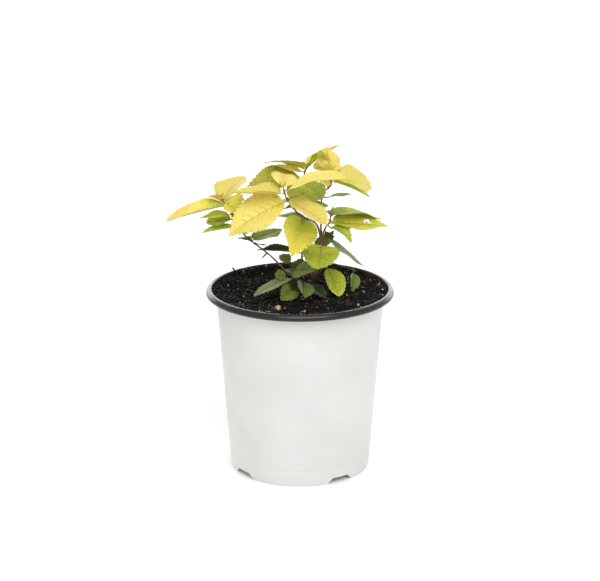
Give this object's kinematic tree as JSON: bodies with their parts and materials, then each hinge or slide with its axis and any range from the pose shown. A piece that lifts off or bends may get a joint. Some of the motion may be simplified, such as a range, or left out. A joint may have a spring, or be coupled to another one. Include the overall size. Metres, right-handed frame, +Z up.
{
  "type": "potted spirea shrub",
  "caption": "Young golden-leaved spirea with arching shoots from one low stem, growing in a round tapered nursery pot with a rolled rim; stands on its flat base",
  "frame": {"origin": "centre of the flat foot under the pot", "axes": "X to the right seen from the plant's front, Y to its back, Z up; the front faces -Y"},
  "size_m": [0.1456, 0.121, 0.2073],
  "materials": {
    "pot_wall": "satin",
    "pot_rim": "satin",
    "mix": "matte",
    "bark": "matte",
    "leaf": "satin"
  },
  "bodies": {
    "root": {"pot": "pot_wall", "rim": "pot_rim", "soil": "mix", "trunk": "bark", "left_bough": "bark", "front_bough": "bark", "top_bough": "bark", "right_bough": "bark", "back_bough": "bark", "left_foliage": "leaf", "front_foliage": "leaf", "top_foliage": "leaf", "right_foliage": "leaf", "back_foliage": "leaf", "centre_foliage": "leaf", "inner_foliage": "leaf", "low_left_foliage": "leaf", "low_front_foliage": "leaf", "low_right_foliage": "leaf"}
  },
  "joints": []
}
